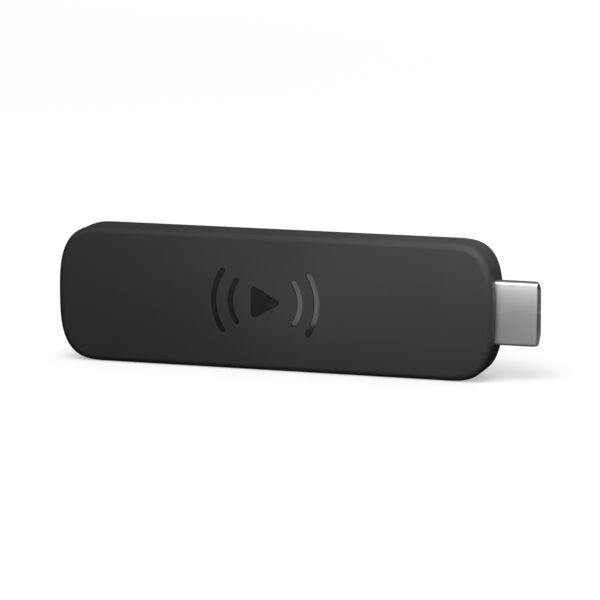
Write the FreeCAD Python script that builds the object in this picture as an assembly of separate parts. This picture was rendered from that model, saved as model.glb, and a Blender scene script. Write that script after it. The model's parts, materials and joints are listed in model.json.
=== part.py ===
"""Streaming media player stick: a pebble-edged plastic housing in two snapped halves around a
double-sided board, with a 19-contact video plug at one end and a power socket in one long edge.

Row frame: +X runs along the stick towards the plug, -Y is the marked front face and +Z is up
when the stick stands on its long edge. The origin is the centre of the whole box at its base.
Everything is drawn about the housing's own centre, then moved to the row frame on export.
"""

import FreeCAD, Part
import math
import os

V = FreeCAD.Vector

# ---- driving dimensions, millimetres ------------------------------------------------------
HOUSING_L = 98.6          # housing length, without the plug
HOUSING_W = 30.0          # width, which is the height as it stands
HOUSING_T = 14.0          # thickness
PLUG_TIP_X = 58.2         # plug mouth, from the housing's centre
END_RUN = 10.7            # length of the rounded end, from the straight edge to the tip
END_POWER = 3.12          # squareness of the rounded end
CROWN_R = 110.0           # the front face is slightly crowned across its width
FACE_R = 1.6              # rolled edge round the front face
BACK_R = 4.6              # fuller rolled edge round the back face
WALL = 1.4                # housing wall
CAVITY_R = 1.2            # the front edge inside
BACK_CAVITY_R = 2.8       # the back edge inside
SEAM_GAP = 0.12           # visible line between the halves
SEAM_R = 0.10             # broken corner each side of that line
LIP_DEPTH = 1.0           # tongue of the front half, inside the back half
LIP_T = 0.62              # tongue thickness
LIP_PLAY = 0.06

BOARD_T = 1.0
BOARD_X0, BOARD_X1 = -38.6, 43.2
BOARD_Z = 12.3
POST_XZ = [(-35.6, 9.6), (-35.6, -9.6), (39.6, 9.9), (39.6, -9.9)]
POST_R, PIN_R, PIN_HOLE_R, PIN_TALL = 1.7, 0.75, 0.85, 1.6

PLUG_W, PLUG_T, PLUG_FLAT = 13.9, 4.45, 10.0   # wide side, thickness, narrow side
PLUG_KNEE = 0.25          # where the sides start to slope in
PLUG_SHEET = 0.3
PLUG_Y = -1.2             # the plug sits nearer the front face than the housing's middle
PLUG_REAR_X = 43.8
PLUG_SLOT_Z, PLUG_SLOT_Y = 5.95, 1.1
CONTACT_PITCH = 1.0

POWER_X = -21.0             # power socket, along the lower long edge
POWER_W, POWER_H, POWER_SHEET = 7.5, 2.6, 0.25
POWER_Z0, POWER_Z1 = -14.35, -9.1
POWER_TONGUE_W, POWER_TONGUE_T = 3.7, 0.6

MARK_X, MARK_Z = -1.4, 0.3     # centre of the sunk mark on the front face
MARK_DEPTH = 0.3

HL, HW, HT = HOUSING_L / 2, HOUSING_W / 2, HOUSING_T / 2
ROW_SHIFT = V(-(PLUG_TIP_X - HL) / 2, 0, HW)
BT = BOARD_T / 2


# ---- helpers -----------------------------------------------------------------------------
def box(x0, x1, y0, y1, z0, z1):
    x0, x1 = min(x0, x1), max(x0, x1)
    y0, y1 = min(y0, y1), max(y0, y1)
    z0, z1 = min(z0, z1), max(z0, z1)
    return Part.makeBox(x1 - x0, y1 - y0, z1 - z0, V(x0, y0, z0))


def cyl_y(x, z, r, y0, y1):
    return Part.makeCylinder(r, y1 - y0, V(x, y0, z), V(0, 1, 0))


def fuse(shapes):
    shapes = list(shapes)
    out = shapes[0].multiFuse(shapes[1:]) if len(shapes) > 1 else shapes[0]
    return out.removeSplitter()


def cut(shape, tools):
    tools = list(tools)
    out = shape.cut(tools) if tools else shape
    return out


def edge_fillet(shape, r, pick):
    edges = [e for e in shape.Edges if pick(e)]
    return shape.makeFillet(r, edges) if edges else shape


def along(e, axis, tol=1e-4):
    """True for a straight edge that runs along that axis."""
    d = e.Vertexes[-1].Point.sub(e.Vertexes[0].Point)
    if d.Length < 1e-6 or e.Curve.TypeId != "Part::GeomLine":
        return False
    return abs(abs(d.normalize().dot(axis)) - 1) < tol


def end_arc_points(inset, steps=13):
    """Right-hand end of the outline drawn in by inset, from the upper straight edge down to the lower one."""
    pts = []
    for k in range(steps):
        th = math.pi / 2 * (1 - k / (steps - 1))
        c, s = math.cos(th), math.sin(th)
        c, s = max(c, 0.0), max(s, 0.0)
        r = (c ** END_POWER + s ** END_POWER) ** (-1 / END_POWER)
        x, z = END_RUN * r * c, HW * r * s
        nx = (max(x, 0) / END_RUN) ** (END_POWER - 1) / END_RUN
        nz = (z / HW) ** (END_POWER - 1) / HW
        n = math.hypot(nx, nz)
        pts.append((HL - END_RUN + x - inset * nx / n, z - inset * nz / n))
    low = [(x, -z) for x, z in reversed(pts[:-1])]
    return pts + low


def outline(inset, y):
    """Closed wire: two straight long edges and two rounded ends, at that depth."""
    right = end_arc_points(inset)
    left = [(-x, -z) for x, z in right]

    def spline(pts, tx0, tx1):
        b = Part.BSplineCurve()
        b.interpolate(Points=[V(x, y, z) for x, z in pts], InitialTangent=V(tx0, 0, 0), FinalTangent=V(tx1, 0, 0))
        return b.toShape()

    e1 = spline(right, 14, -14)
    e3 = spline(left, -14, 14)
    e2 = Part.makeLine(V(right[-1][0], y, right[-1][1]), V(left[0][0], y, left[0][1]))
    e4 = Part.makeLine(V(left[-1][0], y, left[-1][1]), V(right[0][0], y, right[0][1]))
    return Part.Wire([e1, e2, e3, e4])


def plate(inset, y0, y1):
    """The outline drawn in by inset, from y0 to y1."""
    return Part.Face(outline(inset, y0)).extrude(V(0, y1 - y0, 0))


def at_y(shape, y, tol=1e-4):
    """The edges of a shape that lie wholly at that depth."""
    return [e for e in shape.Edges if abs(e.BoundBox.YMin - y) < 0.01 and abs(e.BoundBox.YMax - y) < 0.01]


def rolled_plate(inset, y0, y1, r0=0.0, r1=0.0):
    """The outline drawn in by inset, from y0 to y1, with a rolled edge at either end."""
    p = plate(inset, y0, y1)
    if r0:
        p = p.makeFillet(r0, at_y(p, y0))
    if r1:
        p = p.makeFillet(r1, at_y(p, y1))
    return p


def crown(off=0.0):
    """A long drum whose nearest side is the crown of the front face, drawn in by off."""
    c = Part.makeCylinder(CROWN_R - off, 140, V(-70, -HT + CROWN_R, 0), V(1, 0, 0))
    # its own start line is turned away from the face
    c.rotate(V(0, -HT + CROWN_R, 0), V(1, 0, 0), 137)
    return c


def crowned_front(y1, r0, r1):
    """The front half's outer form: the outline up to y1 behind the crown, rolled edge r0 round the face."""
    p = plate(0, -HT - 1, y1).common(crown())
    face = [f for f in p.Faces if f.Surface.TypeId == "Part::GeomCylinder"]
    assert len(face) == 1
    p = p.makeFillet(r0, face[0].Edges)
    return p.makeFillet(r1, at_y(p, y1))


def group(shapes):
    return Part.makeCompound(list(shapes))


PARTS = {}

# ---- the plug's section, in the Y-Z plane -------------------------------------------------
def plug_section(off, x):
    """Plug section grown by off (negative draws it in): wide side to the front, sloped shoulders to the back."""
    hw, ht, fl = PLUG_W / 2 + off, PLUG_T / 2 + off, PLUG_FLAT / 2 + off * 0.55
    knee = PLUG_KNEE + off * 0.35
    pts = [(-ht, -hw), (-ht, hw), (knee, hw), (ht, fl), (ht, -fl), (knee, -hw)]
    pts = [(y + PLUG_Y, z) for y, z in pts]
    return Part.makePolygon([V(x, y, z) for y, z in pts] + [V(x, *pts[0])])


def plug_prism(off, x0, x1, r=0.55):
    p = Part.Face(plug_section(off, x0)).extrude(V(x1 - x0, 0, 0))
    if r:
        p = edge_fillet(p, r, lambda e: along(e, V(1, 0, 0)))
    return p


# ---- housing ------------------------------------------------------------------------------
half_gap = SEAM_GAP / 2
outer_front = crowned_front(-half_gap, FACE_R, SEAM_R)
outer_back = rolled_plate(0, half_gap, HT, SEAM_R, BACK_R)
front = cut(outer_front, [rolled_plate(WALL, -HT + WALL, 1.0, CAVITY_R)])
back = cut(outer_back, [rolled_plate(WALL, -1.0, HT - WALL, 0.0, BACK_CAVITY_R)])

# tongue and rebate round the parting line
lip_in = WALL
lip_out = WALL - LIP_T
tongue = cut(plate(lip_out, -half_gap - 0.5, LIP_DEPTH), [plate(lip_in, -half_gap - 1.5, LIP_DEPTH + 1)])
rebate = cut(plate(lip_out - LIP_PLAY, -1.0, LIP_DEPTH + 0.1), [plate(WALL + 0.4, -2.0, LIP_DEPTH + 2)])
front = front.fuse(tongue)
back = back.cut(rebate)

# snap hooks on the front half and their pockets in the back half
HOOK_X = (-33.0, -6.0, 12.0, 31.0)
hooks, pockets = [], []
for hx in HOOK_X:
    for side in (1, -1):
        z_in = side * (HW - WALL - 0.95)
        z_out = side * (HW - WALL - 0.08)
        z_tip = side * (HW - WALL + 0.42)
        prof = [(-2.6, z_in), (-2.6, z_out), (1.35, z_out), (1.75, z_tip), (2.35, z_tip), (3.2, z_out), (3.2, z_in)]
        w = Part.makePolygon([V(hx - 2.2, y, z) for y, z in prof] + [V(hx - 2.2, *prof[0])])
        hooks.append(Part.Face(w).extrude(V(4.4, 0, 0)))
        # foot that ties the hook to the front wall below the parting line
        hooks.append(box(hx - 2.2, hx + 2.2, -2.6, -0.4, min(z_out, side * (HW - WALL + 0.2)), max(z_out, side * (HW - WALL + 0.2))))
        z_a, z_b = side * (HW - WALL - 0.3), side * (HW - WALL + 0.55)
        pockets.append(box(hx - 2.5, hx + 2.5, 1.2, 3.35, z_a, z_b))
front = fuse([front] + hooks)
back = cut(back, pockets)

# posts that clamp the board, and low ribs that back the heat spreaders
IN_Y = HT - WALL
f_add, b_add, b_cut = [], [], []
for px, pz in POST_XZ:
    f_add.append(cyl_y(px, pz, POST_R, -IN_Y - 0.5, -BT))
    f_add.append(cyl_y(px, pz, PIN_R, -BT - 0.2, BT + PIN_TALL - 0.2))
    b_add.append(cyl_y(px, pz, POST_R, BT + 0.05, IN_Y + 0.5))
    b_cut.append(cyl_y(px, pz, PIN_HOLE_R, BT, BT + PIN_TALL))
RIB_X = (-20.0, -8.0, 4.0, 16.0, 28.0)
for rx in RIB_X:
    f_add.append(box(rx - 0.4, rx + 0.4, -IN_Y - 0.3, -4.55, -9.6, 9.6))
    b_add.append(box(rx - 0.4, rx + 0.4, 4.55, IN_Y + 0.3, -9.6, 9.6))
for rz in (-5.0, 5.0):
    f_add.append(box(-20.0, 28.0, -IN_Y - 0.3, -4.75, rz - 0.35, rz + 0.35))
    b_add.append(box(-20.0, 28.0, 4.75, IN_Y + 0.3, rz - 0.35, rz + 0.35))
front = fuse([front] + f_add)
back = fuse([back] + b_add)
back = cut(back, b_cut)

# openings: the plug through the end wall, the power socket through the lower edge
plug_hole = plug_prism(0.14, 44.8, 55.0, 0.6)
front = cut(front, [plug_hole])
back = cut(back, [plug_hole])


def power_section(off, z):
    """Socket section: wide side to the front, sloped corners to the back."""
    hw, hh = POWER_W / 2 + off, POWER_H / 2 + off
    sl = 0.95
    pts = [(-hw, -hh), (hw, -hh), (hw, hh - sl), (hw - sl, hh), (-hw + sl, hh), (-hw, hh - sl)]
    return Part.makePolygon([V(POWER_X + x, y, z) for x, y in pts] + [V(POWER_X + pts[0][0], pts[0][1], z)])


def power_prism(off, z0, z1, r):
    p = Part.Face(power_section(off, z0)).extrude(V(0, 0, z1 - z0))
    return edge_fillet(p, r, lambda e: along(e, V(0, 0, 1))) if r else p


power_hole = power_prism(0.28, -16.0, -13.0, 0.45)
# countersink round the socket mouth
cs0, cs1 = power_section(0.28, -14.5), power_section(0.85, -15.02)
power_sink = Part.makeLoft([cs0, cs1], True, True)
front = cut(front, [power_hole, power_sink])
back = cut(back, [power_hole, power_sink])


# sunk mark on the front face: a play triangle between two pairs of arcs
def slot_arc(cx, cz, r, a0, a1, w, y0, y1):
    """Arc-shaped slot with round ends, angles in degrees from +X towards +Z."""
    a0, a1 = math.radians(a0), math.radians(a1)
    am = (a0 + a1) / 2

    def p(rr, a):
        return V(cx + rr * math.cos(a), y0, cz + rr * math.sin(a))

    ri, ro = r - w / 2, r + w / 2
    e = [
        Part.Arc(p(ro, a0), p(ro, am), p(ro, a1)).toShape(),
        Part.Arc(p(ro, a1), V(cx + r * math.cos(a1) - w / 2 * math.sin(a1), y0, cz + r * math.sin(a1) + w / 2 * math.cos(a1)), p(ri, a1)).toShape(),
        Part.Arc(p(ri, a1), p(ri, am), p(ri, a0)).toShape(),
        Part.Arc(p(ri, a0), V(cx + r * math.cos(a0) + w / 2 * math.sin(a0), y0, cz + r * math.sin(a0) - w / 2 * math.cos(a0)), p(ro, a0)).toShape(),
    ]
    return Part.Face(Part.Wire(e)).extrude(V(0, y1 - y0, 0))


def round_triangle(cx, cz, size, r, y0, y1):
    pts = [(cx - size * 0.46, cz + size * 0.56), (cx - size * 0.46, cz - size * 0.56), (cx + size * 0.58, cz)]
    w = Part.makePolygon([V(x, y0, z) for x, z in pts] + [V(pts[0][0], y0, pts[0][1])])
    p = Part.Face(w).extrude(V(0, y1 - y0, 0))
    return edge_fillet(p, r, lambda e: along(e, V(0, 1, 0)))


my0, my1 = -HT - 0.5, -HT + 1.0
mark = [round_triangle(MARK_X, MARK_Z, 7.0, 0.75, my0, my1)]
for rr, sweep in ((7.9, 35), (11.7, 34)):
    mark.append(slot_arc(MARK_X, MARK_Z, rr, -sweep, sweep, 1.25, my0, my1))
    mark.append(slot_arc(MARK_X, MARK_Z, rr, 180 - sweep, 180 + sweep, 1.25, my0, my1))
# its floor follows the crown
front = cut(front, [m.cut(crown(MARK_DEPTH)) for m in mark])

PARTS["front_shell"] = front
PARTS["back_shell"] = back

# ---- board --------------------------------------------------------------------------------
b = box(BOARD_X0, BOARD_X1, -BT, BT, -BOARD_Z, BOARD_Z)
b = edge_fillet(b, 2.0, lambda e: along(e, V(0, 1, 0)))
# keep the board inside the rounded cavity at the plug end, and clear of the snap hooks
b = b.common(plate(WALL + 0.9, -2, 2))
notches = [cyl_y(px, pz, PIN_HOLE_R, -2, 2) for px, pz in POST_XZ]
notches.append(box(POWER_X - POWER_W / 2 - 0.15, POWER_X + POWER_W / 2 + 0.15, -2, 2, -14, POWER_Z1 + 0.15))
for hx in HOOK_X:
    for side in (1, -1):
        z0, z1 = sorted((side * 12.1, side * 14))
        notches.append(box(hx - 2.6, hx + 2.6, -2, 2, z0, z1))
b = cut(b, notches)
PARTS["main_board"] = b


def chip(x, z, lx, lz, t, side, r=0.0, stand=0.0):
    """A chip on the board: side -1 front, +1 back."""
    y0 = side * (BT + stand)
    y1 = side * (BT + stand + t)
    s = box(x - lx / 2, x + lx / 2, min(y0, y1), max(y0, y1), z - lz / 2, z + lz / 2)
    if r:
        s = edge_fillet(s, r, lambda e: along(e, V(0, 1, 0)))
    return s


def with_lid(x, z, lx, lz, t, side, cap=0.35, margin=1.2):
    """A chip with a smaller raised cap, as on a lidded package."""
    a = chip(x, z, lx, lz, t - cap, side)
    y0, y1 = sorted((side * (BT + t - cap), side * (BT + t)))
    c = box(x - lx / 2 + margin, x + lx / 2 - margin, y0, y1, z - lz / 2 + margin, z + lz / 2 - margin)
    c = edge_fillet(c, 0.8, lambda e: along(e, V(0, 1, 0)))
    return fuse([a, c])


PARTS["processor"] = with_lid(10.0, 0.0, 14.0, 14.0, 1.2, -1)
PARTS["memory_chip"] = chip(24.5, 0.0, 10.0, 14.5, 1.0, -1, 0.2)
PARTS["storage_chip"] = chip(4.0, 0.0, 11.5, 13.0, 1.0, 1, 0.2)
PARTS["wireless_chip"] = chip(-16.0, 1.5, 7.0, 7.0, 0.9, 1, 0.15)
PARTS["power_chip"] = chip(19.0, 4.5, 6.0, 6.0, 0.85, 1, 0.15)
PARTS["interface_chips"] = group([chip(36.2, 3.2, 3.0, 2.2, 0.7, 1, 0.1), chip(36.2, -3.2, 3.0, 2.2, 0.7, 1, 0.1), chip(-20.6, -5.8, 2.2, 2.0, 0.7, -1, 0.1)])
PARTS["radio_amplifiers"] = group([chip(-25.2, 6.2, 2.6, 2.6, 0.6, 1, 0.1), chip(-25.2, -1.6, 2.6, 2.6, 0.6, 1, 0.1)])


def inductor(x, z, a, t, side):
    """Moulded power inductor: square body with clipped corners and two end straps."""
    s = chip(x, z, a, a, t, side)
    return edge_fillet(s, a * 0.16, lambda e: along(e, V(0, 1, 0)))


PARTS["power_inductors"] = group([inductor(x, z, 2.6, 1.2, 1) for x, z in ((24.8, 8.0), (24.8, 4.8), (24.8, 1.6), (20.4, 9.0))] + [inductor(-20.8, -1.2, 2.6, 1.2, -1)])


def crystal(x, z, lx, lz, t, side):
    base = chip(x, z, lx, lz, t * 0.5, side)
    y0, y1 = sorted((side * (BT + t * 0.5), side * (BT + t)))
    lid = box(x - lx / 2 + 0.2, x + lx / 2 - 0.2, y0, y1, z - lz / 2 + 0.2, z + lz / 2 - 0.2)
    lid = edge_fillet(lid, 0.3, lambda e: along(e, V(0, 1, 0)))
    return fuse([base, lid])


PARTS["clock_crystals"] = group([crystal(-0.8, 8.6, 3.2, 2.5, 0.8, -1), crystal(-16.0, 8.4, 2.5, 2.0, 0.7, 1)])

# small ceramic capacitors: one body and two end caps each
bodies, caps = [], []


def mlcc(x, z, length, width, t, side, turn=False):
    end = length * 0.22
    for a, bb, ends in ((-length / 2 + end, length / 2 - end, False), (-length / 2, -length / 2 + end, True), (length / 2 - end, length / 2, True)):
        g = 0.0 if ends else 0.02
        y0, y1 = sorted((side * (BT + (0.0 if ends else 0.03)), side * (BT + t - g)))
        if turn:
            s = box(x - width / 2 + g, x + width / 2 - g, y0, y1, z + a, z + bb)
        else:
            s = box(x + a, x + bb, y0, y1, z - width / 2 + g, z + width / 2 - g)
        (caps if ends else bodies).append(s)


for k in range(7):
    mlcc(-2.6, -6.6 + 2.2 * k, 1.0, 0.5, 0.5, -1, True)
for k in range(5):
    mlcc(4.5 + 2.6 * k, 9.3, 1.0, 0.5, 0.5, -1)
    mlcc(4.5 + 2.6 * k, -9.3, 1.0, 0.5, 0.5, -1)
for k in range(4):
    mlcc(13.2, -6.2 + 1.5 * k, 1.6, 0.8, 0.8, 1)
    mlcc(16.2, -6.2 + 1.5 * k, 1.6, 0.8, 0.8, 1)
    mlcc(28.8, -6.2 + 1.5 * k, 1.6, 0.8, 0.8, 1)
for k in range(6):
    mlcc(-8.8, -5.6 + 2.2 * k, 1.0, 0.5, 0.5, 1, True)
for k in range(5):
    mlcc(-28.6, -5.0 + 2.4 * k, 1.0, 0.5, 0.5, -1, True)
for k in range(4):
    mlcc(-15.2, -7.2 + 2.6 * k, 2.0, 1.25, 1.2, -1)
PARTS["capacitor_bodies"] = group(bodies)
PARTS["capacitor_ends"] = group(caps)

# ---- shields ------------------------------------------------------------------------------
CAN_T = 0.2


def shield_frame(x0, x1, z0, z1, side, tall):
    """Fence soldered to the board, with a narrow flange turned in at its top."""
    y0, y1 = sorted((side * BT, side * (BT + tall)))
    o = edge_fillet(box(x0, x1, y0, y1, z0, z1), 0.8, lambda e: along(e, V(0, 1, 0)))
    i = edge_fillet(box(x0 + CAN_T, x1 - CAN_T, y0 - 1, y1 + 1, z0 + CAN_T, z1 - CAN_T), 0.6, lambda e: along(e, V(0, 1, 0)))
    wall = cut(o, [i])
    t0, t1 = sorted((side * (BT + tall - CAN_T), side * (BT + tall)))
    top = edge_fillet(box(x0, x1, t0, t1, z0, z1), 0.8, lambda e: along(e, V(0, 1, 0)))
    hole = edge_fillet(box(x0 + 1.1, x1 - 1.1, t0 - 1, t1 + 1, z0 + 1.1, z1 - 1.1), 0.5, lambda e: along(e, V(0, 1, 0)))
    out = fuse([wall, cut(top, [hole])])
    # crenels along the foot, where it is soldered
    cuts = []
    n = int((x1 - x0) / 4.2)
    f0, f1 = sorted((side * (BT - 0.1), side * (BT + 0.35)))
    for k in range(n):
        xc = x0 + (k + 0.5) * (x1 - x0) / n
        cuts.append(box(xc - 0.9, xc + 0.9, f0, f1, z0 - 1, z0 + 1))
        cuts.append(box(xc - 0.9, xc + 0.9, f0, f1, z1 - 1, z1 + 1))
    return cut(out, cuts)


def shield_lid(x0, x1, z0, z1, side, tall, holes):
    """Snap-on lid over a fence, with a grid of vent holes and spring dimples in its skirt."""
    g = 0.05
    X0, X1, Z0, Z1 = x0 - g - CAN_T, x1 + g + CAN_T, z0 - g - CAN_T, z1 + g + CAN_T
    y0, y1 = sorted((side * (BT + tall + 0.01), side * (BT + tall + 0.01 + CAN_T)))
    s0, s1 = sorted((side * (BT + 0.55), side * (BT + tall + 0.01 + CAN_T)))
    skirt = edge_fillet(box(X0, X1, s0, s1, Z0, Z1), 1.0, lambda e: along(e, V(0, 1, 0)))
    inner = edge_fillet(box(X0 + CAN_T, X1 - CAN_T, s0 - 1, s1 + 1, Z0 + CAN_T, Z1 - CAN_T), 0.8, lambda e: along(e, V(0, 1, 0)))
    skirt = cut(skirt, [inner])
    top = edge_fillet(box(X0, X1, y0, y1, Z0, Z1), 1.0, lambda e: along(e, V(0, 1, 0)))
    lid = fuse([skirt, top])
    tools = [cyl_y(hx, hz, 0.55, y0 - 1, y1 + 1) for hx, hz in holes]
    # relief slits at the skirt's corners
    c0, c1 = sorted((side * (BT + 0.4), side * (BT + tall - 0.25)))
    for cx in (X0, X1):
        for cz in (Z0, Z1):
            tools.append(box(cx - 0.7, cx + 0.7, c0, c1, cz - 0.7, cz + 0.7))
    return cut(lid, tools)


FS = (-4.6, 32.6, -10.8, 10.8)
BS = (-28.4, 30.6, -7.4, 10.6)
CAN_TALL = 1.85
fholes = [(hx, hz) for hx in (-2.2, 31.0) for hz in (-8.4, -5.6, -2.8, 0.0, 2.8, 5.6, 8.4)]
bholes = [(hx, hz) for hx in (-26.2, -23.4, -12.0, -9.2) for hz in (-5.2, -2.4, 0.4, 3.2, 6.0, 8.4)]
PARTS["front_shield_frame"] = shield_frame(*FS, -1, CAN_TALL)
PARTS["front_shield_lid"] = shield_lid(*FS, -1, CAN_TALL, fholes)
PARTS["back_shield_frame"] = shield_frame(*BS, 1, CAN_TALL)
PARTS["back_shield_lid"] = shield_lid(*BS, 1, CAN_TALL, bholes)

# ---- thermal stack ------------------------------------------------------------------------
lid_in = BT + CAN_TALL + 0.01
lid_out = lid_in + CAN_T
SPREAD_IN = 3.5
SPREAD_T = 1.0


def pad(x, z, lx, lz, y0, y1):
    p = box(x - lx / 2, x + lx / 2, min(y0, y1), max(y0, y1), z - lz / 2, z + lz / 2)
    return edge_fillet(p, 0.8, lambda e: along(e, V(0, 1, 0)))


PARTS["processor_thermal_pad"] = pad(10.0, 0.0, 11.4, 11.4, -(BT + 1.2), -lid_in)
PARTS["memory_thermal_pad"] = pad(24.5, 0.0, 8.6, 12.0, -(BT + 1.0), -lid_in)
PARTS["storage_thermal_pad"] = pad(4.0, 0.0, 10.0, 11.0, BT + 1.0, lid_in)
PARTS["front_gap_pad"] = pad(14.0, 0.0, 30.0, 17.0, -lid_out, -SPREAD_IN)
PARTS["back_gap_pad"] = pad(5.0, 0.4, 28.0, 16.0, lid_out, SPREAD_IN)


def spreader(x0, x1, side):
    """Stamped aluminium plate with clipped corners and two shallow beads pressed into it."""
    y0, y1 = sorted((side * SPREAD_IN, side * (SPREAD_IN + SPREAD_T)))
    s = box(x0, x1, y0, y1, -11.2, 11.2)
    s = edge_fillet(s, 2.5, lambda e: along(e, V(0, 1, 0)))
    g0, g1 = sorted((side * (SPREAD_IN + SPREAD_T - 0.25), side * (SPREAD_IN + SPREAD_T + 0.1)))
    beads = []
    for zc in (-8.0, 8.0):
        bead = box(x0 + 6, x1 - 6, g0, g1, zc - 0.7, zc + 0.7)
        beads.append(edge_fillet(bead, 0.65, lambda e: along(e, V(0, 1, 0))))
    return cut(s, beads)


PARTS["front_heat_spreader"] = spreader(-24.0, 34.5, -1)
PARTS["back_heat_spreader"] = spreader(-24.0, 34.5, 1)

# ---- antennas at the end away from the plug -----------------------------------------------
CAR_X1 = -39.0
CAR_Y = 3.0
carrier = plate(WALL + 0.35, -CAR_Y, CAR_Y).common(box(-60, CAR_X1, -4, 4, -20, 20))
carrier = cut(carrier, [plate(WALL + 2.0, -2.1, 2.1).common(box(-60, CAR_X1 - 1.2, -4, 4, -20, 20))])
# tabs that lap over the board's end
carrier = fuse([carrier] + [box(CAR_X1 - 0.5, CAR_X1 + 1.4, -BT - 0.75, -BT, zc - 1.6, zc + 1.6) for zc in (-9.6, 9.6)])
PARTS["antenna_carrier"] = carrier

ANT_T = 0.15
FOOT_Y = 2.0              # where an antenna's foot meets its spring clip


def antenna(feed_z, up, side):
    """Stamped strip antenna on the carrier's face: a folded arm, a ground leg, and a feed leg that turns in to its foot."""
    y0, y1 = side * CAR_Y, side * (CAR_Y + ANT_T)
    u = up
    pieces = [
        box(-46.4, -45.5, y0, y1, feed_z - u * 3.4, feed_z + u * 3.8),      # long arm
        box(-46.4, -41.2, y0, y1, feed_z + u * 3.0, feed_z + u * 3.8),      # top arm
        box(-42.0, -41.2, y0, y1, feed_z + u * 1.4, feed_z + u * 3.8),      # its turned-down end
        box(-46.4, -43.4, y0, y1, feed_z - u * 3.4, feed_z - u * 2.6),      # ground leg
        box(-46.4, CAR_X1 + ANT_T, y0, y1, feed_z - 0.4, feed_z + 0.4),     # feed leg
        box(CAR_X1, CAR_X1 + ANT_T, side * FOOT_Y, y1, feed_z - 0.4, feed_z + 0.4),
        box(CAR_X1, -35.9, side * FOOT_Y, side * (FOOT_Y + ANT_T), feed_z - 0.4, feed_z + 0.4),
    ]
    return fuse(pieces)


PARTS["upper_antenna"] = antenna(5.6, 1, -1)
PARTS["lower_antenna"] = antenna(-5.6, -1, -1)
PARTS["short_range_antenna"] = antenna(0.6, 1, 1)


def spring_clip(x, z, side, reach):
    """C-shaped contact spring that stands on the board and presses on an antenna's foot."""
    w, t = 0.5, 0.12
    a = box(x - 0.8, x + 0.8, side * BT, side * (BT + t), z - w, z + w)
    bk = box(x + 0.8 - t, x + 0.8, side * BT, side * reach, z - w, z + w)
    tp = box(x - 0.7, x + 0.8, side * (reach - t), side * reach, z - w, z + w)
    return fuse([a, bk, tp])


PARTS["antenna_clips"] = group([spring_clip(-37.0, z, s, FOOT_Y) for z, s in ((5.6, -1), (-5.6, -1), (0.6, 1))])

# ---- video plug ---------------------------------------------------------------------------
TAPER_X, TAPER_IN = 0.9, 0.14


def rounded_plug_wire(off, x, r):
    """The plug section with rounded corners as one wire."""
    hw, ht, fl = PLUG_W / 2 + off, PLUG_T / 2 + off, PLUG_FLAT / 2 + off * 0.55
    knee = PLUG_KNEE + off * 0.35
    pts = [V(x, y + PLUG_Y, z) for y, z in ((-ht, -hw), (-ht, hw), (knee, hw), (ht, fl), (ht, -fl), (knee, -hw))]
    n = len(pts)
    edges, ends = [], []
    for k in range(n):
        p, a, c = pts[k], pts[k - 1], pts[(k + 1) % n]
        u, w = a.sub(p).normalize(), c.sub(p).normalize()
        half = math.acos(max(-1, min(1, u.dot(w)))) / 2
        d = r / math.tan(half)
        s, e = p.add(u * d), p.add(w * d)
        mid = p.add(u.add(w).normalize() * (r / math.sin(half) - r))
        ends.append((s, mid, e))
    for k in range(n):
        s, mid, e = ends[k]
        edges.append(Part.Arc(s, mid, e).toShape())
        edges.append(Part.makeLine(e, ends[(k + 1) % n][0]))
    return Part.Wire(edges)


def plug_tube(off, x0, x1, r):
    return Part.Face(rounded_plug_wire(off, x0, r)).extrude(V(x1 - x0, 0, 0))


body_out = plug_tube(0, PLUG_REAR_X, PLUG_TIP_X - TAPER_X, 0.55)
tip_out = Part.makeLoft([rounded_plug_wire(0, PLUG_TIP_X - TAPER_X, 0.55), rounded_plug_wire(-TAPER_IN, PLUG_TIP_X, 0.5)], True, True)
hollow = plug_tube(-PLUG_SHEET - TAPER_IN * 0.5, PLUG_REAR_X - 1, PLUG_TIP_X + 1, 0.3)
plug = cut(fuse([body_out, tip_out]), [hollow])
# folded seam down the narrow side, catch windows beside it, and the catch dimples
PY0, PY1 = PLUG_Y - PLUG_T / 2, PLUG_Y + PLUG_T / 2
seam = box(PLUG_REAR_X - 1, PLUG_TIP_X + 1, PY1 - PLUG_SHEET - 0.3, PY1 + 0.2, -0.05, 0.05)
windows = []
for wz in (-2.9, 2.9):
    wbox = box(PLUG_TIP_X - 6.3, PLUG_TIP_X - 4.7, PY1 - PLUG_SHEET - 0.3, PY1 + 0.2, wz - 0.75, wz + 0.75)
    windows.append(edge_fillet(wbox, 0.25, lambda e: along(e, V(0, 1, 0))))
plug = cut(plug, [seam] + windows)
# solder legs that straddle the board
legs = []
for zc in (-5.6, 5.6):
    legs.append(box(38.4, PLUG_REAR_X + 0.8, PY0, PY0 + PLUG_SHEET, zc - 0.7, zc + 0.7))
    legs.append(box(38.4, 40.6, PY0, -BT - 0.3, zc - 0.7, zc - 0.7 + PLUG_SHEET))
    legs.append(box(38.4, 40.6, -BT - 0.3, -BT, zc - 0.7, zc + 0.7))
for zs in (-1, 1):
    legs.append(box(38.4, PLUG_REAR_X + 0.8, PY1 - PLUG_SHEET, PY1, zs * 4.35, zs * 4.95))
    legs.append(box(38.4, 40.0, BT, PY1, zs * 4.35, zs * 4.95))
PARTS["video_plug_shell"] = fuse([plug] + legs)

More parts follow.
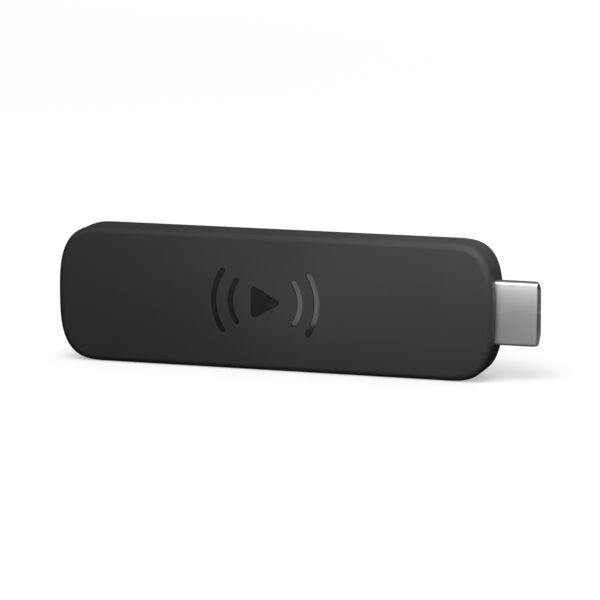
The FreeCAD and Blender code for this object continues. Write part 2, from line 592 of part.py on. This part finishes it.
# moulded insulator inside, with the slot and a groove for each contact
INS_X0, INS_X1, SLOT_X0 = 44.4, PLUG_TIP_X - 0.7, 49.6
ins = plug_tube(-PLUG_SHEET - TAPER_IN * 0.5 - 0.03, INS_X0, INS_X1, 0.28)
slot = box(SLOT_X0, INS_X1 + 1, PLUG_Y - PLUG_SLOT_Y, PLUG_Y + PLUG_SLOT_Y, -PLUG_SLOT_Z, PLUG_SLOT_Z)
front_z = [CONTACT_PITCH * (k - 4.5) for k in range(10)]
back_z = [CONTACT_PITCH * (k - 4.0) for k in range(9)]
GW, GD = 0.46, 0.38
grooves = []
for s, zs in ((-1, front_z), (1, back_z)):
    for z in zs:
        grooves.append(box(SLOT_X0, INS_X1 - 0.35, PLUG_Y + s * (PLUG_SLOT_Y - 0.2), PLUG_Y + s * (PLUG_SLOT_Y + GD), z - GW / 2, z + GW / 2))


def slot_mouth(grow, x):
    y, z = PLUG_SLOT_Y + grow, PLUG_SLOT_Z + grow
    return Part.makePolygon([V(x, PLUG_Y + a * y, b * z) for a, b in ((-1, -1), (-1, 1), (1, 1), (1, -1), (-1, -1))])


# lead-in chamfer at the mouth of the slot
lead = Part.makeLoft([slot_mouth(0.0, INS_X1 - 0.5), slot_mouth(0.3, INS_X1 + 0.1)], True, True)
ins = cut(ins, [slot, lead] + grooves)
CW, CT = 0.34, 0.2
y_run = PLUG_SLOT_Y + GD - CT - 0.03
tail = BT + 0.005


def contact(z, s):
    """One spring contact: tail on the board, a step into the insulator, and a bowed beam in its groove."""
    step_x = 45.2 if s < 0 else 44.0
    run = [(40.6, s * tail), (43.3, s * tail), (step_x, PLUG_Y + s * y_run), (51.2, PLUG_Y + s * y_run),
           (54.5, PLUG_Y + s * (y_run - 0.42)), (55.5, PLUG_Y + s * (y_run - 0.42)), (56.7, PLUG_Y + s * (y_run - 0.05))]
    pts = [V(x, y, z - CW / 2) for x, y in run] + [V(x, y + s * CT, z - CW / 2) for x, y in reversed(run)]
    return Part.Face(Part.makePolygon(pts + [pts[0]])).extrude(V(0, 0, CW))


contacts = [contact(z, -1) for z in front_z] + [contact(z, 1) for z in back_z]
# passages through the insulator's rear block
passages = []
for s, zs in ((-1, front_z), (1, back_z)):
    reach = sorted((PLUG_Y + s * (y_run - 0.04), PLUG_Y + s * (y_run + CT + 0.04)))
    if s < 0:
        reach[1] = -BT + 0.1      # room for the step on that side
    for z in zs:
        passages.append(box(INS_X0 - 0.5, SLOT_X0 + 0.5, reach[0], reach[1], z - CW / 2 - 0.03, z + CW / 2 + 0.03))
ins = cut(ins, passages)
PARTS["video_plug_insulator"] = ins
PARTS["video_plug_contacts"] = group(contacts)

# foam ring that seals the plug to the end wall
gasket_out = edge_fillet(box(45.0, 47.0, -4.4, 2.6, -8.4, 8.4), 1.0, lambda e: along(e, V(1, 0, 0)))
PARTS["plug_gasket"] = cut(gasket_out, [plug_tube(0.02, 44, 48, 0.56)])

# ---- power socket -------------------------------------------------------------------------
power_out = power_prism(0.0, POWER_Z0, POWER_Z1, 0.35)
power_in = power_prism(-POWER_SHEET, POWER_Z0 - 1, POWER_Z1 + 1, 0.2)
power_shell = cut(power_out, [power_in])
# flared lips at the mouth and a rear stop plate
rear = Part.Face(power_section(-0.02, POWER_Z1 - POWER_SHEET)).extrude(V(0, 0, POWER_SHEET))
rear = cut(rear, [box(POWER_X - 1.65, POWER_X + 1.65, 0.2, 0.95, POWER_Z1 - 1, POWER_Z1 + 1)])
legs = []
for s in (1, -1):
    legs.append(box(POWER_X + s * (POWER_W / 2 - POWER_SHEET), POWER_X + s * (POWER_W / 2 + 1.3), -BT - 0.25, -BT, -11.6, -10.0))
catch = [box(POWER_X + s * 1.9 - 0.5, POWER_X + s * 1.9 + 0.5, -POWER_H, -POWER_H / 2 + POWER_SHEET + 0.1, -12.6, -11.2) for s in (1, -1)]
PARTS["power_socket_shell"] = cut(fuse([power_shell, rear] + legs), catch)

TONGUE_Y = 0.1            # the tongue sits a little towards the back wall
power_block = power_prism(-POWER_SHEET - 0.03, -10.9, POWER_Z1 - POWER_SHEET - 0.12, 0.15)
power_tongue = box(POWER_X - POWER_TONGUE_W / 2, POWER_X + POWER_TONGUE_W / 2, TONGUE_Y - POWER_TONGUE_T / 2, TONGUE_Y + POWER_TONGUE_T / 2, -13.7, -10.5)
power_tongue = edge_fillet(power_tongue, 0.12, lambda e: along(e, V(1, 0, 0)) and e.CenterOfMass.z < -13)
cy0 = TONGUE_Y + POWER_TONGUE_T / 2 - 0.1
CON_T = 0.14
power_con, power_cut = [], []
for k in range(5):
    xc = POWER_X + 0.65 * (k - 2)
    run = [(-13.4, cy0), (-9.45, cy0), (-9.0, BT + 0.005), (-7.9, BT + 0.005)]
    prof = [V(xc - 0.16, y, z) for z, y in run] + [V(xc - 0.16, y + CON_T, z) for z, y in reversed(run)]
    power_con.append(Part.Face(Part.makePolygon(prof + [prof[0]])).extrude(V(0.32, 0, 0)))
    power_cut.append(box(xc - 0.17, xc + 0.17, cy0 - 0.005, cy0 + CON_T + 0.01, -13.41, POWER_Z1 + 0.5))
PARTS["power_socket_insulator"] = cut(fuse([power_block, power_tongue]), power_cut)
PARTS["power_socket_contacts"] = group(power_con)

# ---- export -------------------------------------------------------------------------------
os.makedirs("parts", exist_ok=True)
for name, shape in PARTS.items():
    s = shape.copy()
    s.translate(ROW_SHIFT)
    solids = s.Solids
    bad = [k for k, x in enumerate(solids) if not x.isValid() or x.Volume <= 0]
    out = solids[0] if len(solids) == 1 else Part.makeCompound(solids)
    out.exportStep("parts/%s.step" % name)
    bb = s.BoundBox
    print("%-24s solids %3d  vol %9.2f  box %7.2f %7.2f %7.2f | %6.2f %6.2f %6.2f %s" % (
        name, len(solids), sum(x.Volume for x in solids), bb.XMin, bb.YMin, bb.ZMin, bb.XMax, bb.YMax, bb.ZMax, "BAD %s" % bad if bad else ""))
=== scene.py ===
import json
import math

import bmesh
import bpy
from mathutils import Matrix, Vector


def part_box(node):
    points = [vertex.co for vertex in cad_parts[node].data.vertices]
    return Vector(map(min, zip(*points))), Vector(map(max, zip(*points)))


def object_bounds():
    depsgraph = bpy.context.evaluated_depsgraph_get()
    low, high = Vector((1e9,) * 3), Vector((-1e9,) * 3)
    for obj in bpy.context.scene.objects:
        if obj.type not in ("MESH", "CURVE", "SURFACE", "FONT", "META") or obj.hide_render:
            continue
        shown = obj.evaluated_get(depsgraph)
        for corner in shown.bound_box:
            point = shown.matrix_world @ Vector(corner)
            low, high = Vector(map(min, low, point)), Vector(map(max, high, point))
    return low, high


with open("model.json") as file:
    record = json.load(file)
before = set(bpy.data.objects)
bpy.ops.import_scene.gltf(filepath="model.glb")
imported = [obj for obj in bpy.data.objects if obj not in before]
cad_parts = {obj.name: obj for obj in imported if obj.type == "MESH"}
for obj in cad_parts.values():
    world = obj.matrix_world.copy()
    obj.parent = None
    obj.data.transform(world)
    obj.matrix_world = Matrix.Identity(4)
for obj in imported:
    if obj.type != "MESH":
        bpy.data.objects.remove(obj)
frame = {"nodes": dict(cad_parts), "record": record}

NODES = frame["nodes"]
cad_lo, cad_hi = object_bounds()
scene = bpy.context.scene
scene.view_settings.view_transform = "Standard"
scene.view_settings.look = "None"
MM = 0.001

# ---- camera: a little towards the plug, a little above ------------------------------------
centre = (cad_lo + cad_hi) / 2
AZ, EL, DIST = math.radians(17.0), math.radians(10.0), 0.80
back = Vector((math.sin(AZ) * math.cos(EL), -math.cos(AZ) * math.cos(EL), math.sin(EL)))
cam_data = bpy.data.cameras.new("camera")
cam = bpy.data.objects.new("camera", cam_data)
scene.collection.objects.link(cam)
cam_data.sensor_width = 36.0
cam_data.lens = 220.0
cam_data.clip_start, cam_data.clip_end = 0.01, 50.0
cam.location = centre + back * DIST
cam.rotation_mode = "QUATERNION"
cam.rotation_quaternion = (-back).to_track_quat("-Z", "Y")
scene.camera = cam


# ---- node helpers -------------------------------------------------------------------------
class Mat:
    """A small wrapper that builds a node tree around one Principled shader."""

    def __init__(self, name, color, rough, metallic=0.0, spec=0.5, **sockets):
        self.m = bpy.data.materials.new(name)
        self.m.use_nodes = True
        self.t = self.m.node_tree
        self.t.nodes.clear()
        self.out = self.add("ShaderNodeOutputMaterial")
        self.p = self.add("ShaderNodeBsdfPrincipled")
        self.link(self.p, "BSDF", self.out, "Surface")
        self.p.inputs["Base Color"].default_value = (*color, 1)
        self.p.inputs["Roughness"].default_value = rough
        self.p.inputs["Metallic"].default_value = metallic
        self.p.inputs["Specular IOR Level"].default_value = spec
        for k, v in sockets.items():
            self.p.inputs[k.replace("_", " ")].default_value = v
        self.coord = None
        self.last_bump = None

    def add(self, kind, **props):
        n = self.t.nodes.new(kind)
        for k, v in props.items():
            setattr(n, k, v)
        return n

    def link(self, a, ao, b, bi):
        self.t.links.new(a.outputs[ao], b.inputs[bi])

    def place(self, scale=(1, 1, 1), turn=(0, 0, 0), move=(0, 0, 0)):
        if self.coord is None:
            self.coord = self.add("ShaderNodeTexCoord")
        mp = self.add("ShaderNodeMapping")
        mp.inputs["Scale"].default_value = scale
        mp.inputs["Rotation"].default_value = turn
        mp.inputs["Location"].default_value = move
        self.link(self.coord, "Object", mp, "Vector")
        return mp

    def noise(self, scale, detail=3.0, rough=0.5, stretch=(1, 1, 1), distortion=0.0):
        mp = self.place(stretch)
        n = self.add("ShaderNodeTexNoise")
        n.inputs["Scale"].default_value = scale
        n.inputs["Detail"].default_value = detail
        n.inputs["Roughness"].default_value = rough
        n.inputs["Distortion"].default_value = distortion
        self.link(mp, "Vector", n, "Vector")
        return n, "Fac"

    def voronoi(self, scale, feature="F1", stretch=(1, 1, 1)):
        mp = self.place(stretch)
        n = self.add("ShaderNodeTexVoronoi", feature=feature)
        n.inputs["Scale"].default_value = scale
        self.link(mp, "Vector", n, "Vector")
        return n, "Distance"

    def ramp(self, src, stops, mode="LINEAR"):
        n = self.add("ShaderNodeValToRGB")
        n.color_ramp.interpolation = mode
        el = n.color_ramp.elements
        while len(el) < len(stops):
            el.new(0.5)
        for e, (pos, c) in zip(el, stops):
            e.position = pos
            e.color = (*c, 1) if isinstance(c, tuple) else (c, c, c, 1)
        self.link(src[0], src[1], n, "Fac")
        return n, "Color"

    def math(self, op, a, b=None, clamp=False):
        n = self.add("ShaderNodeMath", operation=op, use_clamp=clamp)
        for i, v in enumerate((a, b)):
            if v is None:
                continue
            if isinstance(v, tuple):
                self.t.links.new(v[0].outputs[v[1]], n.inputs[i])
            else:
                n.inputs[i].default_value = v
        return n, "Value"

    def map(self, src, lo, hi, out_lo, out_hi, smooth=False):
        n = self.add("ShaderNodeMapRange", clamp=True)
        if smooth:
            n.interpolation_type = "SMOOTHSTEP"
        n.inputs["From Min"].default_value = lo
        n.inputs["From Max"].default_value = hi
        n.inputs["To Min"].default_value = out_lo
        n.inputs["To Max"].default_value = out_hi
        self.t.links.new(src[0].outputs[src[1]], n.inputs["Value"])
        return n, "Result"

    def mix(self, fac, a, b, blend="MIX"):
        n = self.add("ShaderNodeMix", data_type="RGBA", blend_type=blend)
        if isinstance(fac, tuple):
            self.t.links.new(fac[0].outputs[fac[1]], n.inputs["Factor"])
        else:
            n.inputs["Factor"].default_value = fac
        for key, v in (("A", a), ("B", b)):
            s = [i for i in n.inputs if i.name == key and i.type == "RGBA"][0]
            if isinstance(v[0], (int, float)):
                s.default_value = (*v, 1)
            else:
                self.t.links.new(v[0].outputs[v[1]], s)
        return n, [i for i, o in enumerate(n.outputs) if o.type == "RGBA"][0]

    def color(self, src):
        self.t.links.new(src[0].outputs[src[1]], self.p.inputs["Base Color"])

    def rough(self, src):
        self.t.links.new(src[0].outputs[src[1]], self.p.inputs["Roughness"])

    def bump(self, src, dist_mm, strength=1.0):
        n = self.add("ShaderNodeBump")
        n.inputs["Strength"].default_value = strength
        n.inputs["Distance"].default_value = dist_mm * MM
        self.t.links.new(src[0].outputs[src[1]], n.inputs["Height"])
        if self.last_bump is not None:
            self.link(self.last_bump, "Normal", n, "Normal")
        self.last_bump = n
        self.link(n, "Normal", self.p, "Normal")


# ---- materials ----------------------------------------------------------------------------
def housing():
    """Matt moulded plastic: a fine spark-eroded grain over a barely uneven tone."""
    m = Mat("housing_plastic", (0.0222, 0.0232, 0.0228), 0.5, spec=0.42)
    tone = m.noise(48, 3, 0.55)
    fleck = m.voronoi(3100)
    c = m.mix(m.map(tone, 0.3, 0.7, 0, 1), (0.0208, 0.0219, 0.0215), (0.0236, 0.0247, 0.0243))
    c = m.mix(m.map(fleck, 0.0, 0.55, 0.16, 0.0, True), c, (0.036, 0.0375, 0.037))
    m.color(c)
    grain = m.noise(2900, 2.5, 0.55)
    m.rough(m.map(grain, 0.3, 0.7, 0.45, 0.56))
    m.bump(grain, 0.02, 0.5)
    m.bump(fleck, 0.012, 0.3)
    return m.m


def mark_floor():
    """The polished floor of the sunk mark."""
    m = Mat("mark_floor", (0.006, 0.006, 0.0063), 0.14, spec=0.4, Coat_Weight=0.2, Coat_Roughness=0.06)
    n = m.noise(700, 2, 0.5)
    m.rough(m.map(n, 0.3, 0.7, 0.11, 0.18))
    m.color(m.mix(m.map(n, 0.3, 0.7, 0, 1), (0.0052, 0.0054, 0.0056), (0.007, 0.0072, 0.0074)))
    m.bump(n, 0.002, 0.3)
    return m.m


def mark_wall():
    """The steep sides of the mark, less polished than its floor."""
    m = Mat("mark_wall", (0.014, 0.014, 0.0145), 0.3, spec=0.5)
    n = m.noise(1500, 2, 0.5)
    m.rough(m.map(n, 0.3, 0.7, 0.24, 0.34))
    m.color(m.mix(m.map(n, 0.3, 0.7, 0, 1), (0.012, 0.0123, 0.0125), (0.017, 0.0173, 0.0175)))
    m.bump(n, 0.003, 0.3)
    return m.m


def steel(name, lo, hi, rough_lo, rough_hi, stretch, aniso=0.35, line_mm=0.002, line=0.3, metallic=0.95):
    """Formed sheet metal: drawing lines along the strip, faint clouds in its tone."""
    m = Mat(name, hi, rough_lo, metallic=metallic, Anisotropic=aniso)
    lines = m.noise(3600, 3, 0.55, stretch)
    cloud = m.noise(160, 3, 0.5)
    c = m.mix(m.map(cloud, 0.3, 0.7, 0, 1), lo, hi)
    dim = tuple(v * 0.86 for v in lo)
    m.color(m.mix(m.map(lines, 0.4, 0.75, 0, 0.16, True), c, dim))
    m.rough(m.map(lines, 0.3, 0.7, rough_lo, rough_hi))
    m.bump(lines, line_mm, line)
    return m.m


def plated(name, lo, hi, rough_lo, rough_hi):
    """Plated or rolled small metal: soft mottling and fine pits."""
    m = Mat(name, hi, rough_lo, metallic=0.88)
    cloud = m.noise(420, 4, 0.55)
    pits = m.voronoi(5200)
    c = m.mix(m.map(cloud, 0.3, 0.7, 0, 1), lo, hi)
    m.color(m.mix(m.map(pits, 0.0, 0.3, 0.35, 0.0, True), c, tuple(v * 0.7 for v in lo)))
    m.rough(m.map(cloud, 0.3, 0.7, rough_lo, rough_hi))
    m.bump(cloud, 0.003, 0.35)
    return m.m


def plain_plastic(name, lo, hi, rough_lo, rough_hi, scale=1800, bump=0.008):
    """Moulded plastic or resin: fine grain, uneven tone and a few paler specks."""
    m = Mat(name, hi, rough_lo)
    n = m.noise(scale, 3, 0.55)
    t = m.noise(220, 2, 0.5)
    speck = m.voronoi(scale * 1.3)
    c = m.mix(m.map(t, 0.3, 0.7, 0, 1), lo, hi)
    m.color(m.mix(m.map(speck, 0.0, 0.35, 0.3, 0.0, True), c, tuple(min(1.0, v * 1.5) for v in hi)))
    m.rough(m.map(n, 0.3, 0.7, rough_lo, rough_hi))
    m.bump(n, bump, 0.5)
    return m.m


def laminate():
    """Green solder mask over copper: raised tracks in runs, tinned dots, woven glass in the tone."""
    m = Mat("board_laminate", (0.01, 0.07, 0.04), 0.3, Coat_Weight=0.3, Coat_Roughness=0.12)
    weave = m.noise(1300, 2, 0.5, (1, 1, 0.2))
    base = m.mix(m.map(weave, 0.35, 0.65, 0, 1), (0.006, 0.045, 0.026), (0.009, 0.06, 0.036))
    mp = m.place((1, 1, 1), (math.radians(90), 0, 0))
    br = m.add("ShaderNodeTexBrick", offset=0.37, offset_frequency=2, squash=0.6, squash_frequency=3)
    br.inputs["Scale"].default_value = 330.0
    br.inputs["Mortar Size"].default_value = 0.045
    br.inputs["Mortar Smooth"].default_value = 0.3
    br.inputs["Brick Width"].default_value = 2.3
    br.inputs["Row Height"].default_value = 0.28
    m.link(mp, "Vector", br, "Vector")
    tracks = (br, "Fac")
    c = m.mix(m.map(tracks, 0.2, 0.8, 0, 1), base, (0.02, 0.125, 0.07))
    dots = m.voronoi(620)
    c = m.mix(m.map(dots, 0.10, 0.16, 1, 0), c, (0.42, 0.40, 0.34))
    m.color(c)
    m.rough(m.map(weave, 0.3, 0.7, 0.26, 0.36))
    m.bump(tracks, 0.02, 0.6)
    return m.m


MATS = {
    "housing_plastic": housing(),
    "plug_steel": steel("plug_steel", (0.56, 0.56, 0.548), (0.62, 0.62, 0.607), 0.27, 0.33, (0.012, 1, 1), metallic=0.945),
    "socket_steel": steel("socket_steel", (0.5, 0.495, 0.48), (0.6, 0.59, 0.575), 0.24, 0.34, (1, 1, 0.08)),
    "insulator_black": plain_plastic("insulator_black", (0.012, 0.012, 0.0125), (0.017, 0.017, 0.0175), 0.34, 0.46),
    "contact_gold": plated("contact_gold", (0.80, 0.55, 0.20), (0.92, 0.68, 0.30), 0.16, 0.26),
    "gasket_foam": plain_plastic("gasket_foam", (0.02, 0.02, 0.021), (0.045, 0.045, 0.047), 0.85, 0.97, 2600, 0.08),
    "board_laminate": laminate(),
    "package_black": plain_plastic("package_black", (0.013, 0.013, 0.014), (0.022, 0.022, 0.024), 0.45, 0.6),
    "inductor_core": plain_plastic("inductor_core", (0.1, 0.097, 0.093), (0.17, 0.165, 0.16), 0.55, 0.75, 3000, 0.02),
    "can_metal": steel("can_metal", (0.6, 0.59, 0.56), (0.7, 0.69, 0.66), 0.26, 0.36, (0.08, 1, 1)),
    "capacitor_ceramic": plain_plastic("capacitor_ceramic", (0.34, 0.23, 0.13), (0.44, 0.32, 0.2), 0.5, 0.65),
    "tin_plate": plated("tin_plate", (0.66, 0.66, 0.65), (0.78, 0.78, 0.77), 0.24, 0.38),
    "thermal_pad": plain_plastic("thermal_pad", (0.42, 0.47, 0.52), (0.5, 0.55, 0.6), 0.7, 0.85, 1400, 0.02),
    "gap_pad": plain_plastic("gap_pad", (0.22, 0.36, 0.55), (0.28, 0.43, 0.62), 0.72, 0.88, 1400, 0.02),
    "spreader_aluminium": steel("spreader_aluminium", (0.72, 0.72, 0.715), (0.82, 0.82, 0.815), 0.28, 0.4, (0.06, 1, 1)),
    "carrier_plastic": plain_plastic("carrier_plastic", (0.018, 0.018, 0.019), (0.027, 0.027, 0.029), 0.4, 0.55),
    "antenna_brass": plated("antenna_brass", (0.72, 0.53, 0.25), (0.84, 0.65, 0.34), 0.22, 0.34),
}
for part in frame["record"]["subparts"]:
    o = NODES[part["node"]]
    o.data.materials.clear()
    o.data.materials.append(MATS[part["material_slot"]])

# the sunk mark's floor and walls: the face is crowned, so both are told apart by their distance
# from the crown's axis, which runs along X
shell = NODES["front_shell"].data
shell.materials.append(mark_floor())
shell.materials.append(mark_wall())
mx, mz = (-1.4 - 4.45) * MM, 15.3 * MM
CROWN_R, DEPTH = 110.0 * MM, 0.3 * MM
ax_y, ax_z = cad_lo.y + CROWN_R, (cad_lo.z + cad_hi.z) / 2
for poly in shell.polygons:
    c = poly.center
    if abs(c.x - mx) < 14.5 * MM and abs(c.z - mz) < 9.5 * MM and c.y < -6.0 * MM:
        reach = math.hypot(c.y - ax_y, c.z - ax_z)
        if poly.normal.y < -0.9 and abs(reach - (CROWN_R - DEPTH)) < 0.03 * MM:
            poly.material_index = 1
        elif abs(poly.normal.y) < 0.3 and CROWN_R - DEPTH - 0.01 * MM < reach < CROWN_R + 0.01 * MM:
            poly.material_index = 2

# ---- floor and light ----------------------------------------------------------------------
bm = bmesh.new()
bmesh.ops.create_circle(bm, cap_ends=True, radius=30.0, segments=96)
me = bpy.data.meshes.new("floor")
bm.to_mesh(me)
bm.free()
floor = bpy.data.objects.new("floor", me)
scene.collection.objects.link(floor)
floor.location.z = -0.00002
fm = Mat("floor", (0.9, 0.9, 0.9), 0.95, spec=0.0, Emission_Color=(1, 1, 1, 1), Emission_Strength=0.42)
me.materials.append(fm.m)
far = fm.add("ShaderNodeVectorMath", operation="LENGTH")
fm.link(fm.place(), "Vector", far, "Vector")
glow = fm.add("ShaderNodeMapRange", interpolation_type="SMOOTHSTEP")
for key, v in (("From Min", 0.25), ("From Max", 1.6), ("To Min", 0.42), ("To Max", 0.66)):
    glow.inputs[key].default_value = v
fm.link(far, "Value", glow, "Value")
fm.link(glow, "Result", fm.p, "Emission Strength")
floor.visible_glossy = False
floor.visible_diffuse = False

# a soft studio: brightest in front and above, dim behind and below
TOWARD = Vector((0.35, -0.70, 0.62)).normalized()
world = bpy.data.worlds.new("studio")
scene.world = world
world.use_nodes = True
wt = world.node_tree
wt.nodes.clear()
wo = wt.nodes.new("ShaderNodeOutputWorld")
wb = wt.nodes.new("ShaderNodeBackground")
tc = wt.nodes.new("ShaderNodeTexCoord")
dot = wt.nodes.new("ShaderNodeVectorMath")
dot.operation = "DOT_PRODUCT"
dot.inputs[1].default_value = TOWARD
mr = wt.nodes.new("ShaderNodeMapRange")
mr.interpolation_type = "SMOOTHSTEP"
mr.inputs["From Min"].default_value = -0.7
mr.inputs["From Max"].default_value = 0.95
mr.inputs["To Min"].default_value = 0.055
mr.inputs["To Max"].default_value = 0.52
low = wt.nodes.new("ShaderNodeMapRange")      # dimmer again below the horizon
low.interpolation_type = "SMOOTHSTEP"
low.inputs["From Min"].default_value = -0.35
low.inputs["From Max"].default_value = 0.30
low.inputs["To Min"].default_value = 0.36
low.inputs["To Max"].default_value = 1.0
sep = wt.nodes.new("ShaderNodeSeparateXYZ")
wt.links.new(tc.outputs["Generated"], sep.inputs[0])
wt.links.new(sep.outputs["Z"], low.inputs["Value"])
mul = wt.nodes.new("ShaderNodeMath")
mul.operation = "MULTIPLY"
wt.links.new(mr.outputs["Result"], mul.inputs[0])
wt.links.new(low.outputs["Result"], mul.inputs[1])
lp = wt.nodes.new("ShaderNodeLightPath")
mixv = wt.nodes.new("ShaderNodeMix")
mixv.data_type = "FLOAT"
wt.links.new(tc.outputs["Generated"], dot.inputs[0])
wt.links.new(dot.outputs["Value"], mr.inputs["Value"])
wt.links.new(lp.outputs["Is Camera Ray"], mixv.inputs[0])
wt.links.new(mul.outputs["Value"], mixv.inputs[2])
mixv.inputs[3].default_value = 0.93
wt.links.new(mixv.outputs[0], wb.inputs["Strength"])
wb.inputs["Color"].default_value = (1, 1, 1, 1)
wt.links.new(wb.outputs[0], wo.inputs[0])


def area(name, loc, size, power, target=None, size_y=None, gloss=True, only=None):
    """A soft light; only names the nodes it lights, where it is a small flag for one piece."""
    d = bpy.data.lights.new(name, "AREA")
    d.shape = "RECTANGLE" if size_y else "DISK"
    d.size = size
    if size_y:
        d.size_y = size_y
    d.energy = power
    o = bpy.data.objects.new(name, d)
    scene.collection.objects.link(o)
    o.location = loc
    t = Vector(target) if target else centre
    o.rotation_mode = "QUATERNION"
    o.rotation_quaternion = (t - Vector(loc)).to_track_quat("-Z", "Y")
    o.visible_camera = False
    o.visible_glossy = gloss
    if only:
        coll = bpy.data.collections.new(name + "_lights")
        for n in only:
            coll.objects.link(NODES[n])
        o.light_linking.receiver_collection = coll
    return o


plug_lo, plug_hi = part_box("video_plug_shell")
px = plug_hi.x - 0.004
SHELLS = ["front_shell", "back_shell"]
area("face_key", (0.052, -0.064, 0.070), 0.04, 0.115, (0.025, -0.007, 0.018), 0.04, gloss=False, only=list(NODES))
area("edge_key", (0.060, -0.004, 0.088), 0.03, 0.040, (0.04, 0, 0.03), 0.03, gloss=False, only=SHELLS)
area("mark_card", (-0.0077, -0.044, 0.0105), 0.008, 0.0012, (0.0038, -0.0067, 0.015), 0.019, only=["front_shell"])
area("plug_card", (px + 0.003, plug_lo.y - 0.030, 0.0362), 0.045, 0.025, (px + 0.002, plug_lo.y, 0.0315), 0.034, only=["video_plug_shell"])
area("mouth_card", (0.125, -0.02, 0.030), 0.05, 0.09, (px, -0.001, 0.015), 0.04, only=["video_plug_contacts", "video_plug_insulator"])
area("top_soft", (-0.1, -0.6, 0.9), 0.9, 5.0, gloss=False)
area("back_fill", (-0.35, 1.0, 0.16), 0.5, 13.0, gloss=False, only=list(NODES))
area("back_top", (0.3, 0.7, 0.9), 0.6, 1.2, gloss=False)
area("plug_back_card", (0.092, 0.055, 0.020), 0.06, 0.012, (px, 0.0, 0.015), 0.036, only=["video_plug_shell"])
